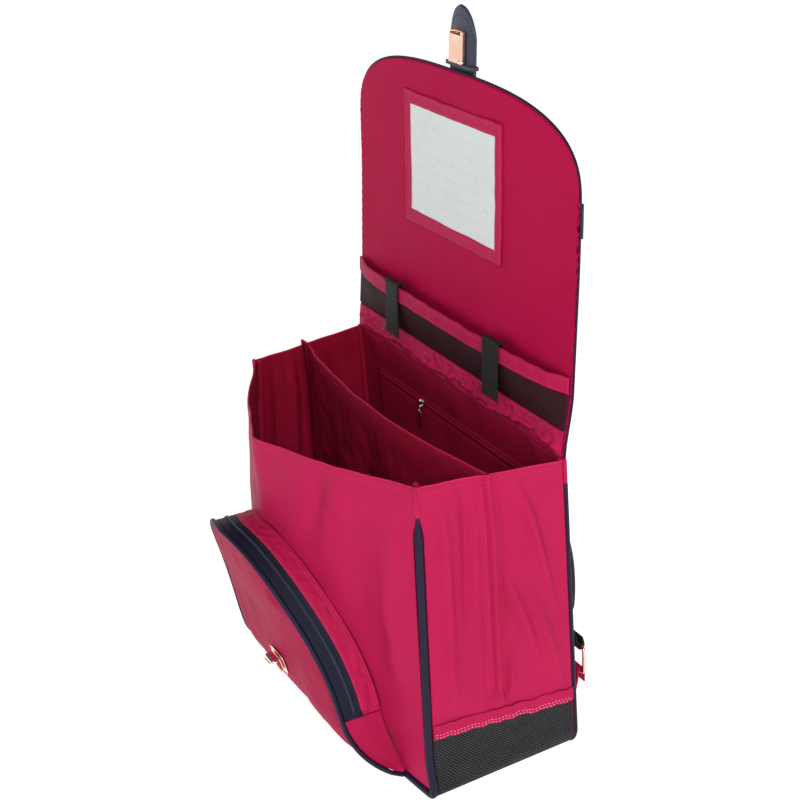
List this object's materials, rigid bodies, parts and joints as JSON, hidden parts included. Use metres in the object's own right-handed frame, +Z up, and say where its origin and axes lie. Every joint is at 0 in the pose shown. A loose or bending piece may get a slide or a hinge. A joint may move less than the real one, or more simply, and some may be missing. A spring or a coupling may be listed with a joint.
{
  "type": "school ransel",
  "caption": "Satchel-shaped school bag standing open: lifted flap with a card window and clasp tab, two compartments, a domed front pocket and shoulder straps.",
  "frame": {"origin": "middle of the base on the ground, half way between the front and back seams", "axes": "-Y out of the front pocket, +X to the right as the front pocket faces the viewer, +Z up"},
  "size_m": [0.3814, 0.2905, 0.6401],
  "materials": {
    "bag_cloth": "magenta woven nylon, slightly shiny",
    "flap_cloth": "magenta-red woven nylon over stiff board",
    "lining_cloth": "dark magenta lining",
    "black_net": "black net over cloth",
    "navy_trim": "navy woven trim",
    "black_webbing": "black woven webbing",
    "navy_leather": "navy grained leather",
    "rose_metal": "polished rose gold plate",
    "card_window": "clear vinyl over a blank card"
  },
  "bodies": {
    "root": {"anchor_tab_left": "bag_cloth", "anchor_tab_right": "bag_cloth", "back_pad": "black_net", "back_panel": "bag_cloth", "back_piping": "navy_trim", "base_band": "black_net", "clasp_base": "rose_metal", "clasp_pin": "rose_metal", "closure_tab": "navy_leather", "corner_tack_left": "bag_cloth", "corner_tack_right": "bag_cloth", "divider": "lining_cloth", "flap_panel": "flap_cloth", "flap_piping": "navy_trim", "flap_pocket_binding": "flap_cloth", "flap_pocket_mesh": "black_net", "flap_strap_left": "black_webbing", "flap_strap_right": "black_webbing", "front_panel": "bag_cloth", "front_piping": "navy_trim", "gusset_left": "bag_cloth", "gusset_right": "bag_cloth", "handle": "navy_leather", "hem_left": "bag_cloth", "hem_right": "bag_cloth", "hinge_strip": "flap_cloth", "inner_pocket": "lining_cloth", "inner_zip": "navy_trim", "inner_zip_pull": "rose_metal", "lock_case": "rose_metal", "lock_plate": "rose_metal", "outer_band": "navy_leather", "pocket_band": "bag_cloth", "pocket_corner_left": "bag_cloth", "pocket_corner_right": "bag_cloth", "pocket_face": "bag_cloth", "pocket_piping": "navy_trim", "pocket_zip_pull": "rose_metal", "pocket_zip_tape": "navy_trim", "pocket_zip_teeth": "navy_trim", "shoulder_strap_left": "black_webbing", "shoulder_strap_right": "black_webbing", "strap_ring_left": "rose_metal", "strap_ring_right": "rose_metal", "strap_webbing_left": "black_webbing", "strap_webbing_right": "black_webbing", "tab_keeper": "navy_leather", "window_frame": "flap_cloth", "window_sheet": "card_window"},
    "lever": {"clasp_lever": "rose_metal"}
  },
  "joints": [
    {"name": "clasp_flip", "type": "hinge", "parent": "root", "child": "lever", "pos_m": [0, 0.0782, 0.593], "axis": [1, 0, 0], "range_deg": [0, 80]}
  ]
}
